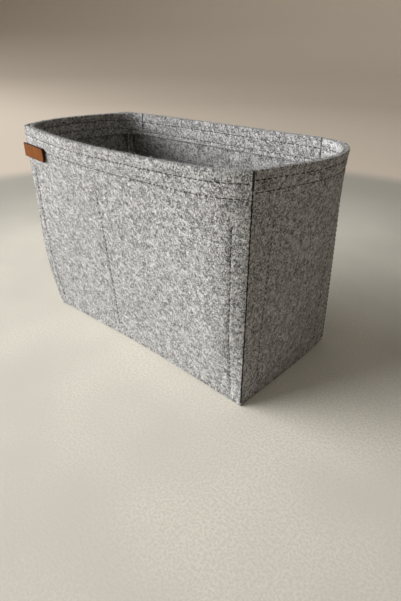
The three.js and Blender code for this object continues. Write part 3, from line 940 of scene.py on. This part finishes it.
def leather_material(name, deep, tan):
    n = Nodes(name)
    cloud = n.noise(160, detail=4, rough=0.6, distortion=0.6)
    pores = n.noise(1900, detail=3, rough=0.6, distortion=0.3)
    colour = n.mix(n.span(cloud, 0.3, 0.7), deep, tan)
    colour = n.mix(n.span(pores, 0.5, 0.75, to_high=0.45), colour, deep)
    n.link(colour, n.shader.inputs["Base Color"])
    n.bump(pores, strength=0.35, distance=0.0003)
    socket(n.shader, "Roughness", 0.75)
    socket(n.shader, "Specular IOR Level", 0.05)
    return n.material


PALE_GREY = (0.53, 0.53, 0.527)
MID_GREY = (0.15, 0.15, 0.149)
DARK_FIBRE = (0.04, 0.04, 0.042)
WHITE_FIBRE = (0.82, 0.82, 0.81)
POCKET_PALE = (0.25, 0.25, 0.248)
POCKET_GREY = (0.14, 0.14, 0.139)
POCKET_WHITE = (0.37, 0.37, 0.366)
felt = felt_material("heather_felt", PALE_GREY, MID_GREY, DARK_FIBRE, WHITE_FIBRE)
lining_felt = felt_material("heather_pocket_felt", POCKET_PALE, POCKET_GREY, DARK_FIBRE, POCKET_WHITE)
thread = thread_material(dark=(0.007, 0.007, 0.008), light=(0.03, 0.03, 0.031))
fibre = fibre_material(PALE_GREY)
leather = leather_material("tan_leather", deep=(0.112, 0.0345, 0.005), tan=(0.174, 0.0565, 0.0087))
burnished = leather_material("burnished_leather_edge", deep=(0.03, 0.011, 0.005), tan=(0.06, 0.02, 0.008))


# Felt pieces

for wall in walls:
    made = (
        (wall_panel(wall, felt), f"{wall.key}_panel", "felt", "stretched"),
        (rim_facing(wall, felt), f"{wall.key}_rim_facing", "felt", "laid"),
        (pocket_sheet(wall, lining_felt), f"{wall.key}_pocket", "pocket_felt", "hung"),
    )
    for (piece, flat), node, slot, held in made:
        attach(piece, "shell")
        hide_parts(node)


# Base

BASE_STEP, STRIP_STEP, STRIP_ROWS = 3.0, 4.0, 5
STRIP_TUCK = 0.9
# The base's edge from the floor up: height, then inset from the wall feet's line
BASE_ROLL = ((0.0, 1.0), (0.12, 0.45), (0.6, 0.12), (1.3, 0.0), (1.8, 0.25), (BASE_FELT, 0.9))


def base_outline():
    """The line of the wall feet, all round, counter-clockwise from above."""
    runs = []
    for wall in walls:
        line = wall.line(np.array(FOOT))
        xs = np.linspace(line.start, line.end, int(line.span / BASE_STEP) + 1)[:-1]
        runs.append(wall.world(wall.at(xs, np.array(FOOT), 0.0))[:, :2])
    return np.concatenate(runs)


def ring_faces(rings, count):
    """Faces between rings of points, closed at the first and the last ring."""
    faces = []
    for j in range(rings - 1):
        for i in range(count):
            k = (i + 1) % count
            faces.append([j * count + i, j * count + k, (j + 1) * count + k, (j + 1) * count + i])
    faces.append(list(range(count))[::-1])
    faces.append([(rings - 1) * count + i for i in range(count)])
    return faces


def base_allowance(wall, material):
    """The strip of the base that stands up inside one wall's foot."""
    near = WALL_FELT + LAY_GAP
    count = int((2 * wall.half - 2 * SEAM_REACH) / STRIP_STEP)
    faces = []
    for inset in (near, near + BASE_FELT):
        rows = []
        for z in np.linspace(BASE_FELT - STRIP_TUCK, BASE_FELT + BASE_ALLOWANCE, STRIP_ROWS):
            line = wall.line(z)
            xs = np.linspace(line.start + SEAM_REACH, line.end - SEAM_REACH, count)
            rows.append(wall.at(xs, z, inset))
        faces.append(wall.world(np.array(rows)))
    return felt_sheet(f"base_allowance_{wall.key}", faces[0], faces[1], material, STRIP_EDGES)


def base_sheet(material):
    """The base under the wall feet, its edge rolled up to the seam and its allowances standing inside."""
    outline = base_outline()
    run = np.roll(outline, -1, axis=0) - np.roll(outline, 1, axis=0)
    inward = np.column_stack([-run[:, 1], run[:, 0]]) / np.linalg.norm(run, axis=1)[:, None]
    rings = []
    for height, inset in BASE_ROLL:
        ring = outline + inward * inset
        rings.append(np.column_stack([ring, np.full(len(ring), height)]))
    faces = ring_faces(len(rings), len(outline))
    piece = new_object("base_felt", np.concatenate(rings) * MM, faces, material)
    piece.data.shade_smooth()
    strips = [base_allowance(wall, material) for wall in walls]
    for strip in strips:
        strip.parent = piece
    size = outline.max(axis=0) - outline.min(axis=0) + 2 * BASE_ALLOWANCE
    return piece, strips, tuple(float(v) * MM for v in size)


base, base_strips, base_flat = base_sheet(felt)
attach(base, "shell")
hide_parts("base_panel")
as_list(base_strips)

# Stitching and loose fibres

for wall in walls:
    paths = rim_stitches(wall) + pocket_stitches(wall) + corner_stitches(wall)
    sewn = tubes_object(f"{wall.key}_stitching", paths, thread, THREAD_SIDES)
    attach(sewn, "shell")
    fluff = tubes_object(f"{wall.key}_rim_fibres", rim_fibres(wall), fibre, FIBRE_SIDES)
    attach(fluff, "shell")


# Tag


def tag_outline():
    half, r = TAG_HEIGHT / 2, TAG_CORNER_RADIUS
    points = [(0.0, -half)]
    for centre, first in (((TAG_LENGTH - r, -half + r), -90), ((TAG_LENGTH - r, half - r), 0)):
        for step in range(TAG_CORNER_STEPS + 1):
            angle = math.radians(first + step * 90 / TAG_CORNER_STEPS)
            points.append((centre[0] + r * math.cos(angle), centre[1] + r * math.sin(angle)))
    points.append((0.0, half))
    return np.array(points)


# The tag's edge from its back to its face: depth, then inset from the outline
TAG_PROFILE = (
    (0.0, 0.35), (0.1, 0.1), (0.4, 0.0), (TAG_THICKNESS - 0.45, 0.0), (TAG_THICKNESS - 0.1, 0.16),
    (TAG_THICKNESS, 0.5), (TAG_THICKNESS, 1.1),
)


def tag_piece():
    """The tag along the front wall's face from the corner seam, with a burnished edge."""
    outline = tag_outline()
    count = len(outline)
    middle = np.array([TAG_LENGTH / 2, 0.0])
    z = HEIGHT - TAG_TOP_DROP - TAG_HEIGHT / 2
    line = front.line(np.array(z))
    root = front.world(front.at(line.start, np.array(z), 0.0))[:2]
    far = front.world(front.at(line.start + TAG_LENGTH - TAG_OVERHANG, np.array(z), 0.0))[:2]
    run = (far - root) / np.linalg.norm(far - root)
    outward = np.array([run[1], -run[0]])
    origin = root - run * TAG_OVERHANG + outward * TAG_STAND_OFF
    vertices = []
    for depth, inset in TAG_PROFILE:
        pull = middle - outline
        ring = outline + np.sign(pull) * np.minimum(np.abs(pull), inset)
        for along, up in ring:
            p = origin + run * along + outward * depth
            vertices.append((p[0] * MM, p[1] * MM, (z + up) * MM))
    piece = new_object("tag_leather", vertices, ring_faces(len(TAG_PROFILE), count), leather)
    piece.data.materials.append(burnished)
    for i in range((len(TAG_PROFILE) - 2) * count):
        piece.data.polygons[i].material_index = 1
    piece.data.shade_smooth()
    return piece


tag = tag_piece()
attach(tag, "tag")
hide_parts("leather_tag")


# Floor, light and camera

# The floor darkens away from the object in painted shade, then takes the background's tone; distances in
# metres
FLOOR_PALE, FLOOR_PALE_LOW = (0.84, 0.806, 0.71), (0.68, 0.657, 0.578)
PAINTED_SHADE_NEAR, PAINTED_SHADE_FAR, FLOOR_PAINTED_SHADE = 0.2, 0.5, (0.42, 0.409, 0.36)
FADE_NEAR, FADE_FAR, FLOOR_FAR = 0.53, 0.61, (0.7, 0.615, 0.517)
# Under the window lamp, which would burn it out, the floor is darker
WINDOW_FOOT = (-1.68, -1.26, 0.0)
WINDOW_NEAR, WINDOW_FAR = 0.9, 2.0
FLOOR_BY_WINDOW = (0.17, 0.15, 0.126)
# The floor's profile from its middle out: radius and height in metres
FLOOR_SWEEP = ((0.0, 0.0), (1.6, 0.0), (2.2, 0.06), (2.7, 0.26), (3.0, 0.7), (3.12, 1.5))
FLOOR_SIDES = 96


def floor_material():
    n = Nodes("pale_floor")
    grain = n.noise(700, detail=3, rough=0.65)
    cloud = n.noise(9, detail=2, rough=0.5)
    away = n.vector("LENGTH", n.place, None)["Value"]
    tone = n.mix(n.span(cloud, 0.3, 0.7), FLOOR_PALE_LOW, FLOOR_PALE)
    tone = n.mix(n.span(grain, 0.4, 0.6, to_high=0.9), tone, FLOOR_PALE_LOW)
    # painted shade: the floor darker away from the object
    tone = n.mix(n.span(away, PAINTED_SHADE_NEAR, PAINTED_SHADE_FAR), tone, FLOOR_PAINTED_SHADE)
    tone = n.mix(n.span(away, FADE_NEAR, FADE_FAR), tone, FLOOR_FAR)
    from_window = n.vector("DISTANCE", n.place, WINDOW_FOOT)["Value"]
    tone = n.mix(n.span(from_window, WINDOW_NEAR, WINDOW_FAR), FLOOR_BY_WINDOW, tone)
    n.link(tone, n.shader.inputs["Base Color"])
    n.bump(grain, strength=0.15, distance=0.0005)
    socket(n.shader, "Roughness", 0.7)
    socket(n.shader, "Specular IOR Level", 0.2)
    return n.material


def floor():
    """A plain floor that rises in a soft sweep far out, the same on every side."""
    vertices = [(0.0, 0.0, 0.0)]
    faces = []
    for j, (radius, height) in enumerate(FLOOR_SWEEP[1:]):
        for i in range(FLOOR_SIDES):
            angle = 2 * math.pi * i / FLOOR_SIDES
            vertices.append((radius * math.cos(angle), radius * math.sin(angle), height))
            k = (i + 1) % FLOOR_SIDES
            here = 1 + j * FLOOR_SIDES
            if j == 0:
                faces.append([0, here + i, here + k])
            else:
                below = here - FLOOR_SIDES
                faces.append([below + i, here + i, here + k, below + k])
    piece = new_object("floor", vertices, faces, floor_material())
    piece.data.shade_smooth()


floor()

CAMERA_PLACE = (242.8, -237.7, 206.1)
CAMERA_YAW, CAMERA_PITCH = 42.28, 29.29
FOCAL_PIXELS = 462.7
FRAME_HEIGHT_PIXELS = 601
# The picture is taller than wide, so the sensor's width spans its height
SENSOR = 36.0

camera_data = bpy.data.cameras.new("camera")
camera_data.sensor_width = SENSOR
camera_data.lens = FOCAL_PIXELS / FRAME_HEIGHT_PIXELS * SENSOR
camera_data.clip_start = 0.01
camera = bpy.data.objects.new("camera", camera_data)
camera.location = [v * MM for v in CAMERA_PLACE]
camera.rotation_euler = (math.radians(90 - CAMERA_PITCH), 0, math.radians(CAMERA_YAW))
bpy.context.scene.collection.objects.link(camera)
bpy.context.scene.camera = camera


def area_light(name, azimuth, elevation, distance, size, spread, power, colour):
    """A lamp that faces the object: azimuth 0 is in front of it; angles in degrees, lengths in metres."""
    data = bpy.data.lights.new(name, "AREA")
    data.shape = "RECTANGLE"
    data.size, data.size_y = size
    data.spread = math.radians(spread)
    data.energy = power
    data.color = colour
    lamp = bpy.data.objects.new(name, data)
    a, e = math.radians(azimuth), math.radians(elevation)
    place = Vector((math.sin(a) * math.cos(e), -math.cos(a) * math.cos(e), math.sin(e))) * distance
    lamp.location = place
    lamp.rotation_euler = (-place).to_track_quat("-Z", "Y").to_euler()
    bpy.context.scene.collection.objects.link(lamp)


area_light(
    "window", azimuth=-53, elevation=18.5, distance=2.2, size=(2.6, 0.7), spread=130, power=62,
    colour=(1.0, 0.99, 0.985),
)
area_light(
    "ceiling", azimuth=0, elevation=88, distance=2.0, size=(2.0, 2.0), spread=180, power=3.5,
    colour=(1.0, 0.98, 0.95),
)

ROOM_COLOUR, ROOM_STRENGTH = (0.62, 0.59, 0.54), 0.21
world = bpy.data.worlds.new("room")
world.use_nodes = True
background = world.node_tree.nodes["Background"]
socket(background, "Color", (*ROOM_COLOUR, 1.0))
socket(background, "Strength", ROOM_STRENGTH)
bpy.context.scene.world = world
bpy.context.scene.view_settings.view_transform = "Standard"
